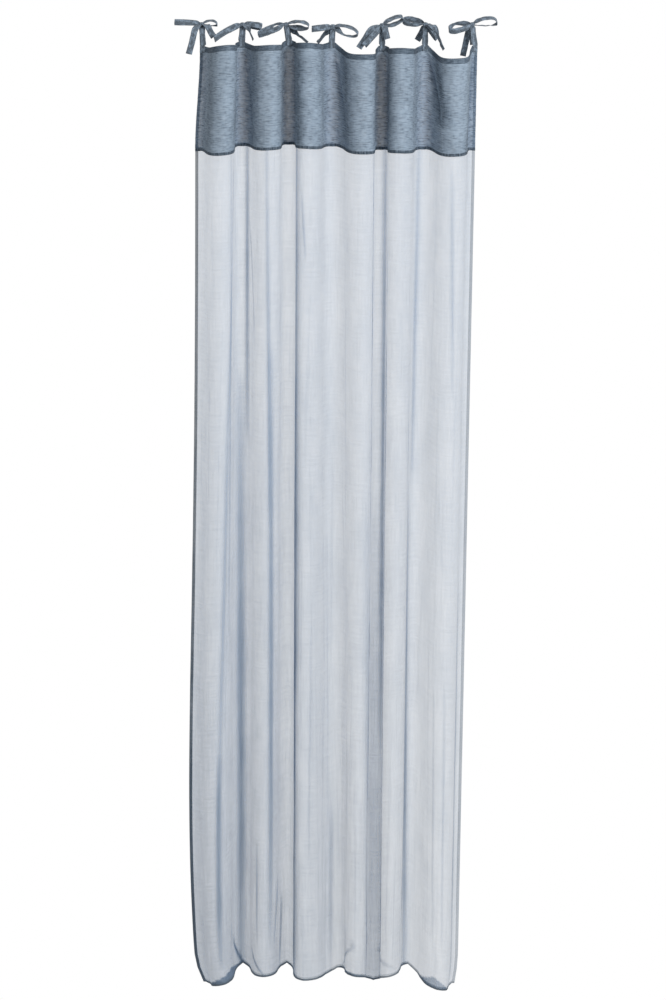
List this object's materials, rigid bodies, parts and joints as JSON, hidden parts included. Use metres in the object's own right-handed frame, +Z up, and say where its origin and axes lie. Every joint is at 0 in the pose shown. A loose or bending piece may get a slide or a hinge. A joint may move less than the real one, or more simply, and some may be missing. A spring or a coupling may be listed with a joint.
{
  "type": "tie top curtain",
  "caption": "Tie-top curtain panel: a linen header over a long sheer voile body, gathered in soft folds and hung on a pole by ribbon bows.",
  "frame": {"origin": "on the axis of the pole that the bows go round, midway between the curtain's two side edges at the ties", "axes": "+Z up, +X along the pole to the right as seen from the front, the curtain's front faces -Y"},
  "size_m": [0.8762, 0.1207, 2.6241],
  "materials": {
    "header_linen": "matt slub weave",
    "body_voile": "sheer crinkled voile",
    "ribbon": "matt woven ribbon"
  },
  "bodies": {
    "root": {"header_panel": "header_linen", "body_panel": "body_voile", "tie_1": "ribbon", "tie_2": "ribbon", "tie_3": "ribbon", "tie_4": "ribbon", "tie_5": "ribbon", "tie_6": "ribbon", "tie_7": "ribbon"}
  },
  "joints": []
}
